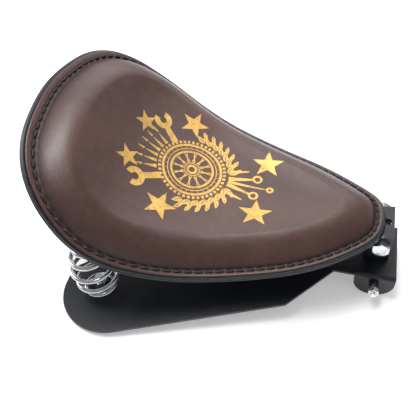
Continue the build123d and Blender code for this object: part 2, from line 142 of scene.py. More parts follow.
def closed_curve(points, count):
    """Evenly spaced points on the smooth closed curve through the given ones."""
    knots = np.array(points + points[:1])
    step = np.linalg.norm(np.diff(knots, axis=0), axis=1)
    chord = np.diff(knots, axis=0) / step[:, None]
    size = len(step)
    system = np.zeros((size, size))
    for at in range(size):
        system[at, at - 1] += step[at - 1]
        system[at, at] += 2 * (step[at - 1] + step[at])
        system[at, (at + 1) % size] += step[at]
    bend = np.linalg.solve(system, 6 * (chord - np.roll(chord, 1, axis=0)))
    dense = []
    for at in range(size):
        after = bend[(at + 1) % size]
        along = np.linspace(0, step[at], 60, endpoint=False)[:, None]
        leave = chord[at] - step[at] * (2 * bend[at] + after) / 6
        turn = (after - bend[at]) / (6 * step[at])
        dense.append(knots[at] + leave * along + bend[at] / 2 * along**2 + turn * along**3)
    dense = np.vstack([*dense, knots[:1]])
    length = np.concatenate([[0], np.cumsum(np.linalg.norm(np.diff(dense, axis=0), axis=1))])
    wanted = np.linspace(0, length[-1], count, endpoint=False)
    return np.stack([np.interp(wanted, length, dense[:, side]) for side in (0, 1)], axis=-1)


def seat_outline(count, inset=0.0):
    """Distances behind the nose and across, on a line inside the outline, from the nose round by the left."""
    left = [(behind * SEAT_LENGTH, across * HALF_WIDTH) for behind, across in OUTLINE_SHARES]
    right = [(back, -across) for back, across in reversed(left[1:-1])]
    line = closed_curve(left + right, count)
    along = np.roll(line, -1, axis=0) - np.roll(line, 1, axis=0)
    along /= np.linalg.norm(along, axis=1)[:, None]
    inward = np.stack([along[:, 1], -along[:, 0]], axis=-1)
    return line + inward * inset


# ------------------------------------------------------------------ meshes
class Shape:
    """Vertices and faces of one piece, gathered from its parts."""

    def __init__(self):
        self.points = []
        self.faces = []

    def loft(self, rings, place=Matrix(), caps=(True, True)):
        """A skin over closed rings that all have the same number of points."""
        rows, around = len(rings), len(rings[0])
        start = len(self.points)
        self.points += [place @ Vector(point) for ring in rings for point in ring]
        for row in range(rows - 1):
            for at in range(around):
                after = (at + 1) % around
                low, high = start + row * around, start + (row + 1) * around
                self.faces.append((low + at, low + after, high + after, high + at))
        if caps[0]:
            self.faces.append(tuple(start + at for at in reversed(range(around))))
        if caps[1]:
            self.faces.append(tuple(start + (rows - 1) * around + at for at in range(around)))

    def make(self, name, sharp=None, merge=0.0, stored=None):
        """The object. Edges bent by more than the sharp angle, in degrees, stay crisp."""
        mesh = bpy.data.meshes.new(name)
        mesh.from_pydata([tuple(point) for point in self.points], [], self.faces)
        for label, values in (stored or {}).items():
            mesh.attributes.new(label, "FLOAT", "POINT").data.foreach_set("value", values)
        work = bmesh.new()
        work.from_mesh(mesh)
        if merge:
            bmesh.ops.remove_doubles(work, verts=work.verts, dist=merge)
        bmesh.ops.recalc_face_normals(work, faces=work.faces)
        work.to_mesh(mesh)
        work.free()
        mesh.polygons.foreach_set("use_smooth", [True] * len(mesh.polygons))
        if sharp is not None:
            mesh.set_sharp_from_angle(angle=math.radians(sharp))
        piece = bpy.data.objects.new(name, mesh)
        bpy.context.scene.collection.objects.link(piece)
        return piece


def circle(radius, height, count):
    """A level ring about Z."""
    turns = [2 * math.pi * at / count for at in range(count)]
    return [(radius * math.cos(turn), radius * math.sin(turn), height) for turn in turns]


def add_hex(shape, place, flats, height, bore=0.0, both_ends=False):
    """A hexagon about Z from 0 to the height with turned corners, and with a bore if it is a nut."""
    count = 72
    ring_radius = 0.95 * flats / 2
    crown = []
    for at in range(count):
        off_flat = (360 * at / count + 30) % 60 - 30
        crown.append(flats / 2 / math.cos(math.radians(off_flat)))
    fall = [(radius - ring_radius) * math.tan(math.radians(30)) for radius in crown]
    turns = [2 * math.pi * at / count for at in range(count)]
    corner = list(zip(crown, fall, turns))
    low = [(r * math.cos(t), r * math.sin(t), f if both_ends else 0) for r, f, t in corner]
    high = [(r * math.cos(t), r * math.sin(t), height - f) for r, f, t in corner]
    start = circle(ring_radius, 0, count)
    end = circle(ring_radius, height, count)
    if bore:
        countersink = 0.08 * flats
        inside = [
            circle(bore + countersink, height, count),
            circle(bore, height - countersink, count),
            circle(bore, countersink, count),
            circle(bore + countersink, 0, count),
        ]
        shape.loft([start, low, high, end, *inside, start], place, caps=(False, False))
        return
    dimple = [
        circle(0.62 * flats / 2, height, count),
        circle(0.56 * flats / 2, height - 0.03 * flats, count),
    ]
    shape.loft([start, low, high, end, *dimple], place)


def add_thread(shape, place, radius, pitch, start, end):
    """A threaded rod about Z with a chamfered end."""
    count = 24
    per_pitch = 6
    depth = 0.55 * pitch
    rings = []
    rows = max(2, round((end - start) / pitch * per_pitch))
    for row in range(rows + 1):
        height = start + (end - start) * row / rows
        taper = max(0.0, 1 - (end - height) / pitch) * depth
        ring = []
        for at in range(count):
            phase = (height / pitch - at / count) % 1
            groove = depth * (1 - abs(2 * phase - 1)) ** 1.4
            reach = radius - max(groove, taper)
            turn = 2 * math.pi * at / count
            ring.append((reach * math.cos(turn), reach * math.sin(turn), height))
        rings.append(ring)
    shape.loft(rings, place)


def add_rod(shape, place, radius, start, end):
    """A plain round rod about Z."""
    shape.loft([circle(radius, height, 32) for height in (start, end)], place)


def dress(piece, material, body=None):
    """Gives a new piece its material and, if one is named, its body."""
    piece.data.materials.clear()
    piece.data.materials.append(material)
    if body:
        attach(piece, body)


# ------------------------------------------------------------------ materials
class Wire:
    """A node's output. Arithmetic on it adds Math nodes, so that masks read as formulas."""

    def __init__(self, finish, socket):
        self.finish = finish
        self.socket = socket

    def math(self, operation, first, second):
        return self.finish.node("ShaderNodeMath", {"operation": operation}, {0: first, 1: second})

    def __add__(self, other):
        return self.math("ADD", self, other)

    def __sub__(self, other):
        return self.math("SUBTRACT", self, other)

    def __rsub__(self, other):
        return self.math("SUBTRACT", other, self)

    def __mul__(self, other):
        return self.math("MULTIPLY", self, other)

    __radd__ = __add__
    __rmul__ = __mul__


class Finish:
    """A material under construction."""

    def __init__(self, name):
        self.material = bpy.data.materials.new(name)
        self.material.use_nodes = True
        self.tree = self.material.node_tree
        self.tree.nodes.clear()

    def node(self, kind, settings=None, sockets=None, out=0):
        """Adds a node: its settings first, then its sockets' values or links. Returns one output."""
        made = self.tree.nodes.new(kind)
        for name, value in (settings or {}).items():
            setattr(made, name, value)
        for name, value in (sockets or {}).items():
            if isinstance(value, Wire):
                self.tree.links.new(value.socket, made.inputs[name])
            else:
                made.inputs[name].default_value = value
        return Wire(self, made.outputs[out]) if made.outputs else None

    def place(self, stretch=(1, 1, 1)):
        """The piece's own coordinates in metres, stretched along the axes."""
        own = self.node("ShaderNodeTexCoord", out="Object")
        return self.node("ShaderNodeMapping", sockets={"Vector": own, "Scale": stretch})

    def noise(self, cells, detail=2.0, roughness=0.5, stretch=(1, 1, 1)):
        """Smooth noise from 0 to 1 with about that many cells in a metre."""
        sockets = {"Vector": self.place(stretch), "Scale": cells, "Detail": detail, "Roughness": roughness}
        return self.node("ShaderNodeTexNoise", sockets=sockets)

    def pebbles(self, cells, feature="DISTANCE_TO_EDGE"):
        """Distance to the edges of cells, of which about that many are in a metre."""
        sockets = {"Vector": self.place(), "Scale": cells}
        return self.node("ShaderNodeTexVoronoi", {"feature": feature}, sockets)

    def mask(self, value, low, high):
        """0 below low and 1 above high, with a smooth step between."""
        sockets = {"Value": value, "From Min": low, "From Max": high}
        return self.node("ShaderNodeMapRange", {"interpolation_type": "SMOOTHSTEP"}, sockets)

    def painted(self, name):
        """A value stored on the mesh's points."""
        return self.node("ShaderNodeAttribute", {"attribute_name": name}, out="Fac")

    def mix(self, share, first, second):
        return self.node("ShaderNodeMix", {"data_type": "RGBA"}, {0: share, 6: first, 7: second}, out=2)

    def bump(self, height, depth, strength=1.0, under=None):
        sockets = {"Height": height, "Distance": depth, "Strength": strength}
        if under:
            sockets["Normal"] = under
        return self.node("ShaderNodeBump", sockets=sockets)

    def surface(self, **sockets):
        """Ends the material with its surface shader."""
        named = {name.replace("_", " "): value for name, value in sockets.items()}
        shader = self.node("ShaderNodeBsdfPrincipled", sockets=named)
        self.node("ShaderNodeOutputMaterial", sockets={"Surface": shader})
        return self.material


def rgba(colour, factor=1.0):
    """A colour property as a shader colour, made lighter or darker by a factor."""
    return (*(channel * factor for channel in colour), 1.0)


def brown_leather(colour):
    """Smooth pull-up leather: cloudy colour, fine pebble grain, painted shade in the groove at the lacing and
    up the shoulder beside it, worn at the edge.
    """
    look = Finish("brown_leather")
    clouds = look.noise(14, detail=5, roughness=0.6)
    mottle = look.noise(120, detail=3)
    pores = look.noise(2600, detail=2)
    grain = look.pebbles(760)
    painted_seam_shade = look.painted("painted_seam_shade")
    edge = look.painted("edge")
    tone = look.mix(look.mask(clouds * 0.7 + mottle * 0.3, 0.36, 0.66), rgba(colour, 0.72), rgba(colour, 1.3))
    # Painted shade: the leather is darkened in the groove at the lacing and up the lower shoulder.
    tone = look.mix(painted_seam_shade * 0.9, tone, rgba(colour, 0.25))
    tone = look.mix(edge * look.mask(mottle, 0.3, 0.6) * 0.7, tone, rgba(colour, 0.34))
    valley = 1 - look.mask(grain, 0.0, 0.14)
    tone = look.mix(valley * 0.35, tone, rgba(colour, 0.45))
    crease = look.bump(look.noise(60, detail=4, roughness=0.65), 0.7 * MM, 0.35)
    cells = look.bump(look.mask(grain, 0.0, 0.2), 0.10 * MM, 0.55, crease)
    normal = look.bump(pores, 0.05 * MM, 0.5, cells)
    return look.surface(
        Base_Color=tone,
        Roughness=0.35 + 0.14 * (clouds - 0.5) + 0.08 * valley + 0.12 * painted_seam_shade,
        Coat_Weight=0.22 - 0.18 * painted_seam_shade,
        Coat_Roughness=0.30,
        Specular_IOR_Level=0.55,
        Normal=normal,
    )


def black_leather():
    """The lining: coarser black hide."""
    look = Finish("black_leather")
    grain = look.pebbles(520)
    clouds = look.noise(40, detail=4)
    tone = look.mix(clouds, (0.010, 0.010, 0.011, 1), (0.024, 0.023, 0.023, 1))
    normal = look.bump(look.mask(grain, 0.0, 0.25), 0.25 * MM, 0.7)
    return look.surface(
        Base_Color=tone,
        Roughness=0.52 + 0.12 * (clouds - 0.5),
        Normal=look.bump(look.noise(1800), 0.08 * MM, 0.5, normal),
    )


def edge_leather():
    """The hem: black leather with a painted, burnished edge."""
    look = Finish("edge_leather")
    rubbed = look.noise(220, detail=4)
    tone = look.mix(look.mask(rubbed, 0.4, 0.75), (0.004, 0.0055, 0.009, 1), (0.014, 0.018, 0.026, 1))
    return look.surface(
        Base_Color=tone,
        Roughness=0.36 + 0.18 * rubbed,
        Coat_Weight=0.1,
        Coat_Roughness=0.3,
        Normal=look.bump(look.noise(900, detail=3), 0.08 * MM, 0.4),
    )


def waxed_thread(colour):
    """Dark waxed cord with fibres along its twist."""
    look = Finish("waxed_thread")
    fibres = look.noise(1500, detail=3)
    tone = look.mix(look.mask(fibres, 0.3, 0.75), rgba(colour, 0.6), rgba(colour, 1.9))
    return look.surface(
        Base_Color=tone,
        Roughness=0.50 + 0.2 * fibres,
        Normal=look.bump(fibres, 0.12 * MM, 0.6),
    )


def gold_foil(colour):
    """Stamped foil: bright where it is whole, brown where it has worn thin."""
    look = Finish("gold_foil")
    wear = look.noise(210, detail=6, roughness=0.7)
    fine = look.noise(1100, detail=3)
    thin = look.mask(wear * 0.7 + fine * 0.3, 0.50, 0.62)
    tone = look.mix(look.mask(fine, 0.35, 0.7), rgba(colour), rgba(colour, 0.72))
    tone = look.mix(thin * 0.55, tone, (0.16, 0.075, 0.025, 1))
    patina = look.mask(look.noise(22, detail=2), 0.42, 0.68)
    tone = look.mix(patina * 0.5, tone, rgba(colour, 0.42))
    return look.surface(
        Base_Color=tone,
        Metallic=0.75 - 0.5 * thin,
        Roughness=0.38 + 0.22 * thin,
        Normal=look.bump(fine, 0.06 * MM, 0.5),
    )


def chrome():
    """Bright plating with faint polishing marks and a little dullness."""
    look = Finish("chrome")
    haze = look.noise(90, detail=5, roughness=0.6)
    marks = look.noise(1600, detail=2, stretch=(1, 1, 0.15))
    return look.surface(
        Base_Color=look.mix(look.mask(haze, 0.45, 0.75), (0.55, 0.56, 0.58, 1), (0.34, 0.35, 0.37, 1)),
        Metallic=1.0,
        Roughness=0.06 + 0.09 * haze,
        Normal=look.bump(marks, 0.02 * MM, 0.4),
    )


def zinc(name, tint, gloss):
    """Bright zinc plate: cloudy crystals and handling marks."""
    look = Finish(name)
    crystals = look.pebbles(420, feature="F1")
    clouds = look.noise(160, detail=4)
    tone = look.mix(look.mask(clouds, 0.35, 0.7), rgba(tint), rgba(tint, 0.72))
    return look.surface(
        Base_Color=tone,
        Metallic=0.95,
        Roughness=gloss + 0.14 * clouds + 0.06 * crystals,
        Normal=look.bump(look.noise(900, detail=3), 0.03 * MM, 0.5),
    )


def satin_black(name, tint, gloss):
    """Powder coat: fine orange peel, dust specks, a little polish by handling."""
    look = Finish(name)
    peel = look.noise(520, detail=2)
    clouds = look.noise(22, detail=5, roughness=0.6)
    specks = look.mask(look.noise(2600, detail=1), 0.70, 0.78)
    tone = look.mix(look.mask(clouds, 0.35, 0.7), rgba(tint), rgba(tint, 1.5))
    tone = look.mix(specks * 0.25, tone, (0.12, 0.12, 0.13, 1))
    return look.surface(
        Base_Color=tone,
        Roughness=gloss + 0.10 * (clouds - 0.5) + 0.1 * specks,
        Specular_IOR_Level=0.5,
        Normal=look.bump(peel, 0.10 * MM, 0.35),
    )


def brushed_steel(name, tint, stretch):
    """Satin steel with the grain of its brushing along one axis."""
    look = Finish(name)
    lines = look.noise(1100, detail=4, roughness=0.7, stretch=stretch)
    clouds = look.noise(60, detail=4)
    tone = look.mix(look.mask(lines, 0.3, 0.7), rgba(tint, 0.75), rgba(tint, 1.15))
    return look.surface(
        Base_Color=tone,
        Metallic=0.9,
        Roughness=0.34 + 0.16 * clouds,
        Normal=look.bump(lines, 0.05 * MM, 0.5),
    )


def studio_paper(colour):
    """The floor: matt paper, barely cloudy."""
    look = Finish("studio_paper")
    clouds = look.noise(3, detail=3)
    return look.surface(
        Base_Color=look.mix(clouds, rgba(colour), rgba(colour, 0.985)),
        Roughness=0.9,
        Emission_Color=(1, 1, 1, 1),
        Emission_Strength=0.3,
    )


# ------------------------------------------------------------------ sizes and colours
def span(name, description, millimetres):
    """A length, given in millimetres."""
    return FloatProperty(name=name, description=description, default=millimetres * MM, unit="LENGTH")


def tint(name, description, colour):
    """A colour."""
    return FloatVectorProperty(
        name=name, description=description, subtype="COLOR", default=colour, min=0, max=1
    )


def number(name, description, value, least, most):
    """A plain number between two limits."""
    return FloatProperty(name=name, description=description, default=value, min=least, max=most)


class SeatLeather(bpy.types.PropertyGroup):
    """Shape and colour of the leather cushion."""

    colour: tint("Colour", "Leather colour", (0.070, 0.026, 0.020))
    border: span("Border", "Flat border outside the cushion", 9)
    ridge: span("Ridge", "Height of the cushion's ridge over the pan", 23)
    reach: span("Shoulder", "From the foot of the cushion to its ridge", 27)
    dish: span("Dish", "How far the middle lies under the ridge", 7)
    pucker: span("Pucker", "How much the lacing gathers the leather", 0.22)


class SeatLacing(bpy.types.PropertyGroup):
    """Size and colour of the lacing."""

    colour: tint("Colour", "Thread colour", (0.0085, 0.007, 0.0068))
    inset: span("Inset", "Stitch line inside the edge", 6.8)
    length: span("Stitch", "Length of a stitch", 8.4)
    radius: span("Thickness", "Radius of the thread", 1.15)


class SeatPrint(bpy.types.PropertyGroup):
    """Place and colour of the gold print."""

    colour: tint("Colour", "Foil colour", (0.86, 0.52, 0.15))
    behind: span("Behind nose", "Middle of the print behind the nose", 190)
    across: span("Across", "Middle of the print off the centre line", 6)
    proud: span("Proud", "Foil's face over the leather", 0.1)


class SeatSprings(bpy.types.PropertyGroup):
    """Winding of the two barrel springs."""

    turns: number("Turns", "Turns of wire", 5.0, 3, 8)
    wire: span("Wire", "Radius of the wire", 2.3)
    end_coil: span("End coil", "Radius of an end coil", 11.5)
    middle_coil: span("Middle coil", "Radius of the widest coil", 22.5)
    start_turn: FloatProperty(
        name="Start", description="Where the wire starts round the axis", default=0.0, subtype="ANGLE"
    )
    steps: IntProperty(name="Steps", description="Sections in each turn", default=48, min=12, max=96)


class SeatStage(bpy.types.PropertyGroup):
    """Light and camera."""

    floor: tint("Floor", "Floor colour", (0.90, 0.90, 0.90))
    lens: number("Lens", "Focal length in millimetres", 44.13, 10, 200)
    sky: number("Sky", "Strength of the even light", 0.42, 0, 5)
    key: number("Key", "Power of the soft box overhead", 17, 0, 500)
    back: number("Back", "Power of the soft box behind", 7, 0, 500)
    side: number("Side", "Power of the side strip", 4, 0, 500)


# ------------------------------------------------------------------ the cushion
def seam_distance(back, across, border):
    """Distance from the cushion's foot over the pan, smooth across the middle of the seat."""
    foot = seat_outline(STITCHES * 16, border)
    run = pan_run(foot[:, 0])
    points = np.stack([pan_run(back), across], axis=-1)
    bounds = np.stack([run, foot[:, 1]], axis=-1)
    spacing = np.linalg.norm(np.roll(bounds, -1, axis=0) - bounds, axis=1)
    power = 5
    straight = 4 / 3  # what an endless straight foot adds up to at this power
    found = np.zeros(len(points))
    for start in range(0, len(points), 1500):
        block = points[start : start + 1500]
        gap = np.linalg.norm(block[:, None] - bounds[None], axis=2) + 1e-9
        nearest = gap.min(axis=1)
        total = (spacing / gap**power).sum(axis=1) / straight
        smooth = total ** (-1 / (power - 1))
        share = np.clip((nearest - 2 * MM) / (10 * MM), 0, 1)
        share = share * share * (3 - 2 * share)
        found[start : start + 1500] = nearest * (1 - share) + smooth * share
    return found


def seam_shade(distance):
    """Painted shade on the leather at a distance from the cushion's foot: a dark line in the groove at the
    lacing and a wide halo up the shoulder.
    """
    line, halo = (np.exp(-((distance / width) ** 2)) for width in (2.2 * MM, 15 * MM))
    return 0.55 * line + 0.4 * halo


def cushion_lift(back, across, leather):
    """Height of the cushion's leather over the pan."""
    inside = seam_distance(back, across, leather.border)
    soft = inside**2 / (inside + 0.8 * MM)
    share = np.clip(soft / leather.reach, 0, 1)
    rise = (1 - (1 - share) ** 1.4) ** 0.72
    ridge_round = 3 * MM
    past_ridge = ridge_round * np.logaddexp(0, (inside - leather.reach) / ridge_round)
    dish = leather.dish * (1 - np.exp(-past_ridge / (26 * MM)))
    foot = COVER_WALL - 0.3 * MM
    return foot + (leather.ridge - foot) * rise - dish


class SEAT_OT_cushion(bpy.types.Operator):
    """Moulded leather cushion with its flat laced border"""

    bl_idname = "seat.cushion"
    bl_label = "Cushion"

    def execute(self, context):
        leather = context.scene.seat_leather
        lacing = context.scene.seat_lacing
        around = STITCHES * 6
        gather = np.cos(2 * math.pi * np.arange(around) / 6)
        rings, edges, painted_seam_shades = [], [], []

        # Each ring carries its edge wear and its painted shade at the seam.
        def border_ring(inset, lift, edge, painted_seam_shade, pull=0.0):
            line = seat_outline(around, inset)
            rings.append(on_pan(line[:, 0], line[:, 1], lift - pull * gather))
            edges.append(np.full(around, edge))
            painted_seam_shades.append(np.full(around, painted_seam_shade))

        round_edge = 0.7 * MM
        top = COVER_WALL
        stitch = lacing.inset
        border_ring(COVER_INSET + round_edge, 0, 1, 0)
        border_ring(COVER_INSET, round_edge, 1, 0)
        border_ring(COVER_INSET, top - round_edge, 1, 0)
        border_ring(COVER_INSET + 0.3 * round_edge, top - 0.3 * round_edge, 0.8, 0)
        border_ring(COVER_INSET + round_edge, top, 0.5, 0)
        border_ring(COVER_INSET + 2 * round_edge, top, 0.1, 0)
        border_ring(0.70 * stitch, top, 0, 0.1, 0.1 * leather.pucker)
        border_ring(0.84 * stitch, top - 0.2 * MM, 0, 0.55, 0.5 * leather.pucker)
        border_ring(stitch, top - 0.6 * MM, 0, 1, leather.pucker)
        border_ring(1.16 * stitch, top - 0.4 * MM, 0, 0.9, 0.8 * leather.pucker)

        foot = seat_outline(around, leather.border)
        spine = np.zeros_like(foot)
        spine[:, 0] = np.clip(foot[:, 0], 60 * MM, SEAT_LENGTH - 100 * MM)
        width = np.linalg.norm(spine - foot, axis=1)
        steps = [1 - math.cos(math.radians(angle)) for angle in range(0, 91, 5)]
        shares = [0.45 * step for step in steps] + [0.45 + 0.55 * at / 14 for at in range(1, 15)]
        for share in shares:
            grid = foot + (spine - foot) * share
            lift = cushion_lift(grid[:, 0], grid[:, 1], leather)
            fade = np.exp(-share * width / (2.5 * MM))
            rings.append(on_pan(grid[:, 0], grid[:, 1], lift - 0.8 * leather.pucker * gather * fade))
            edges.append(np.zeros(around))
            # Painted shade up the shoulder, fading with distance from the foot.
            painted_seam_shades.append(seam_shade(share * width))
        shape = Shape()
        shape.loft(rings, caps=(False, False))
        underside = []
        for share in (1.0, 0.6, 0.3, 0.0):
            grid = foot + (spine - foot) * share
            underside.append(on_pan(grid[:, 0], grid[:, 1], np.zeros(around)))
        shape.loft([*underside, rings[0]], caps=(False, False))
        blank = [np.zeros(around)] * len(underside)
        # Edge wear and painted seam shade, stored on the points for the leather's colour.
        stored = {"edge": [*edges, *blank, edges[0]], "painted_seam_shade": [*painted_seam_shades, *blank, painted_seam_shades[0]]}
        stored = {label: np.concatenate(values) for label, values in stored.items()}
        cushion = shape.make("leather_cushion", merge=MERGE, stored=stored)
        dress(cushion, brown_leather(leather.colour), "seat")
        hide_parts("leather_cover", "foam_pad")
        return {"FINISHED"}


class SEAT_OT_lacing(bpy.types.Operator):
    """Waxed thread laced through the border, over and under"""

    bl_idname = "seat.lacing"
    bl_label = "Lacing"

    def execute(self, context):
        lacing = context.scene.seat_lacing
        per_stitch = 40
        line = seat_outline(STITCHES * per_stitch, lacing.inset)
        perimeter = np.linalg.norm(np.roll(line, -1, axis=0) - line, axis=1).sum()
        pitch = perimeter / STITCHES
        under = -PAN_WALL - LINING_WALL - HEM_WALL
        runs = [
            (0.0, lacing.length, COVER_WALL - 0.6 * MM, 1),
            (0.5, pitch - lacing.length + 2 * lacing.radius, under, -1),
        ]
        shape = Shape()
        sections, sides = 15, 12
        for number in range(STITCHES):
            for phase, length, level, side in runs:
                middle = (number + phase) * per_stitch
                rings = []
                for section in range(sections):
                    share = 2 * section / (sections - 1) - 1
                    at = middle + share * length / 2 / pitch * per_stitch
                    index = int(math.floor(at))
                    part = at - index
                    first = line[index % len(line)]
                    second = line[(index + 1) % len(line)]
                    back, across = first * (1 - part) + second * part
                    arch = 1 - abs(share) ** 3.2
                    lift = level + side * (lacing.radius * (1.6 * arch - 0.65))
                    centre = on_pan(np.array(back), np.array(across), lift)
                    slope = float(pan_slope(np.array(back)))
                    along = second - first
                    forward = Vector((-along[0], along[1], along[0] * math.tan(slope))).normalized()
                    up = Vector((math.sin(slope), 0, math.cos(slope)))
                    beside = forward.cross(up).normalized()
                    ring = []
                    for turn_number in range(sides):
                        turn = 2 * math.pi * turn_number / sides
                        twist = 2 * turn + 9 * share
                        reach = lacing.radius * (1 + 0.10 * math.cos(twist))
                        flat = math.cos(turn) * reach * 1.15
                        tall = math.sin(turn) * reach * 0.85
                        ring.append(tuple(Vector(centre) + beside * flat + up * tall))
                    rings.append(ring)
                shape.loft(rings)
        thread = shape.make("lacing")
        dress(thread, waxed_thread(lacing.colour), "seat")
        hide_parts("lacing_thread")
        return {"FINISHED"}


class SEAT_OT_hem(bpy.types.Operator):
    """Rolled hem of black leather round the edge of the pan"""

    bl_idname = "seat.hem"
    bl_label = "Hem"

    def execute(self, context):
        bottom = -PAN_WALL - LINING_WALL - HEM_WALL
        groove = -PAN_WALL
        profile = [
            (3.2 * MM, 0.10 * MM),
            (1.3 * MM, 0.30 * MM),
            (0.5 * MM, 0.05 * MM),
            (0.05 * MM, -0.6 * MM),
            (0, groove + 1.0 * MM),
            (0.15 * MM, groove + 0.4 * MM),
            (0.55 * MM, groove),
            (0.15 * MM, groove - 0.4 * MM),
            (0, groove - 1.0 * MM),
            (0.15 * MM, bottom + 0.8 * MM),
            (0.7 * MM, bottom + 0.2 * MM),
            (1.6 * MM, bottom),
            (8.0 * MM, bottom),
            (8.8 * MM, bottom + 0.4 * MM),
            (8.8 * MM, bottom + 1.0 * MM),
            (3.2 * MM, 0.10 * MM),
        ]
        rings = []
        for inset, lift in profile:
            line = seat_outline(STITCHES * 4, inset)
            rings.append(on_pan(line[:, 0], line[:, 1], lift))
        shape = Shape()
        shape.loft(rings, caps=(False, False))
        hem = shape.make("lining_hem", sharp=60, merge=MERGE)
        dress(hem, edge_leather(), "seat")
        return {"FINISHED"}


# ------------------------------------------------------------------ the gold print
class Print:
    """Flat outlines of the print. Rearwards and leftwards from its middle, in metres."""

    def __init__(self):
        self.work = bmesh.new()

    def fill(self, outline):
        points = [self.work.verts.new((rear * MM, left * MM, 0)) for rear, left in outline]
        self.work.faces.new(points)

    def star(self, rear, left, radius, turn=0.0):
        middle = self.work.verts.new((rear * MM, left * MM, 0))
        tips = []
        for number in range(10):
            reach = radius if number % 2 == 0 else 0.40 * radius
            angle = math.radians(36 * number + turn)
            spot = ((rear + reach * math.cos(angle)) * MM, (left + reach * math.sin(angle)) * MM, 0)
            tips.append(self.work.verts.new(spot))
        for number in range(10):
            self.work.faces.new((middle, tips[number], tips[(number + 1) % 10]))

    def arc(self, rear, left, inner, outer, start, end):
        """Part of a ring between two angles in degrees from straight rearwards."""
        steps = max(1, round((end - start) / 7.5))
        for step in range(steps):
            corners = []
            for angle, radius in ((step, inner), (step, outer), (step + 1, outer), (step + 1, inner)):
                turn = math.radians(start + (end - start) * angle / steps)
                corners.append((rear + radius * math.cos(turn), left + radius * math.sin(turn)))
            self.fill(corners)

    def bar(self, start, end, wide, narrow=None):
        """A straight bar between two points, of one width or tapering."""
        run = Vector(end) - Vector(start)
        side = Vector((-run.y, run.x)).normalized()
        last = wide if narrow is None else narrow
        near, far = side * wide / 2, side * last / 2
        first, second = Vector(start), Vector(end)
        self.fill([first + near, first - near, second - far, second + far])

    def leaf(self, foot, angle, length, width):
        """A pointed leaf with a split along its rib."""
        turn = Matrix.Rotation(math.radians(angle), 2)
        for side in (-1, 1):
            half = [(0.04, 0.05), (0.25, 0.38), (0.50, 0.5), (0.78, 0.3), (1.0, 0.0), (0.5, 0.06)]
            spots = [turn @ Vector((along * length, side * across * width)) for along, across in half]
            self.fill([Vector(foot) + spot for spot in spots])

    def piece(self, name, place, leather, proud):
        """Lays the outlines on the cushion as thin foil."""
        work = self.work
        bmesh.ops.triangulate(work, faces=work.faces)
        for _ in range(3):
            long_edges = [edge for edge in work.edges if edge.calc_length() > 5 * MM]
            bmesh.ops.subdivide_edges(work, edges=long_edges, cuts=1)
            bmesh.ops.triangulate(work, faces=work.faces)
        flat = np.array([vertex.co for vertex in work.verts])
        backs = np.linspace(0, SEAT_LENGTH, 2000)
        middle_run = float(pan_run(np.array(place[0])))
        back = np.interp(middle_run + flat[:, 0], pan_run(backs), backs)
        across = place[1] + flat[:, 1]
        lift = cushion_lift(back, across, leather) + proud
        for vertex, spot in zip(work.verts, on_pan(back, across, lift)):
            vertex.co = spot
        bmesh.ops.recalc_face_normals(work, faces=work.faces)
        mesh = bpy.data.meshes.new(name)
        work.to_mesh(mesh)
        work.free()
        foil = bpy.data.objects.new(name, mesh)
        bpy.context.scene.collection.objects.link(foil)
        return foil


class SEAT_OT_foil_print(bpy.types.Operator):
    """Gold print of stars, a spoked wheel, spanners and laurel"""

    bl_idname = "seat.foil_print"
    bl_label = "Gold print"

    def execute(self, context):
        stamp = context.scene.seat_print
        sheet = Print()
        for side in (-1, 1):
            sheet.star(-62, 36 * side, 19, 84)
            sheet.star(38, 63 * side, 19, 96)
            sheet.star(92, 28 * side, 15, 120)
        wheel = (20, 0)
        sheet.arc(*wheel, 33.0, 36.0, 0, 360)
        sheet.arc(*wheel, 28.6, 29.8, 0, 360)
        sheet.arc(*wheel, 23.4, 26.2, 0, 360)
        sheet.arc(*wheel, 8.2, 9.4, 0, 360)
        sheet.arc(*wheel, 3.6, 6.6, 0, 360)
        for number in range(45):
            sheet.arc(*wheel, 37.0, 40.6, 8 * number, 8 * number + 4.6)
        for number in range(30):
            turn = math.radians(12 * number)
            sheet.star(wheel[0] + 31.3 * math.cos(turn), 31.3 * math.sin(turn), 1.1)
        for number in range(24):
            turn = math.radians(15 * number)
            lean = math.radians(15 * number + (11 if number % 2 else -11))
            hub = (wheel[0] + 10.2 * math.cos(turn), 10.2 * math.sin(turn))
            rim = (wheel[0] + 22.8 * math.cos(lean), 22.8 * math.sin(lean))
            sheet.bar(hub, rim, 1.5, 1.1)
        leaves = ((42.5, 62, 14, 6.4), (43, 12, 13, 6.0), (50, 44, 11, 5.0))
        for side in (-1, 1):
            for number in range(7):
                outward = 180 - side * (14 + 12 * number)
                turn = math.radians(outward)
                for reach, lean, length, width in leaves:
                    foot = (wheel[0] + reach * math.cos(turn), reach * math.sin(turn))
                    sheet.leaf(foot, outward - side * lean, length, width)
            sheet.bar((50, 26 * side), (69, 40 * side), 8.5, 7)
            sheet.arc(75, 45 * side, 4.4, 11.5, 38 * side + 42, 38 * side + 318)
            for ray in (5, 15, 25):
                lean = math.radians(ray * side)
                for inner, outer, wide in ((42.5, 58, 4.6), (60, 68, 3.0)):
                    start = (wheel[0] + inner * math.cos(lean), inner * math.sin(lean))
                    end = (wheel[0] + outer * math.cos(lean), outer * math.sin(lean))
                    sheet.bar(start, end, wide, 0.8)
            sheet.bar((-24, 4 * side), (-52, 11 * side), 6, 2.4)
            sheet.bar((-26, 15 * side), (-44, 21 * side), 5, 1.6)
            sheet.arc(-55, 12 * side, 3.0, 5.6, 0, 360)
        sheet.bar((-24, 0), (-66, 0), 4.4, 1.2)
        sheet.arc(-71, 0, 1.6, 4.2, 0, 360)
        place = (stamp.behind, stamp.across)
        foil = sheet.piece("foil_print", place, context.scene.seat_leather, stamp.proud)
        dress(foil, gold_foil(stamp.colour), "seat")
        return {"FINISHED"}


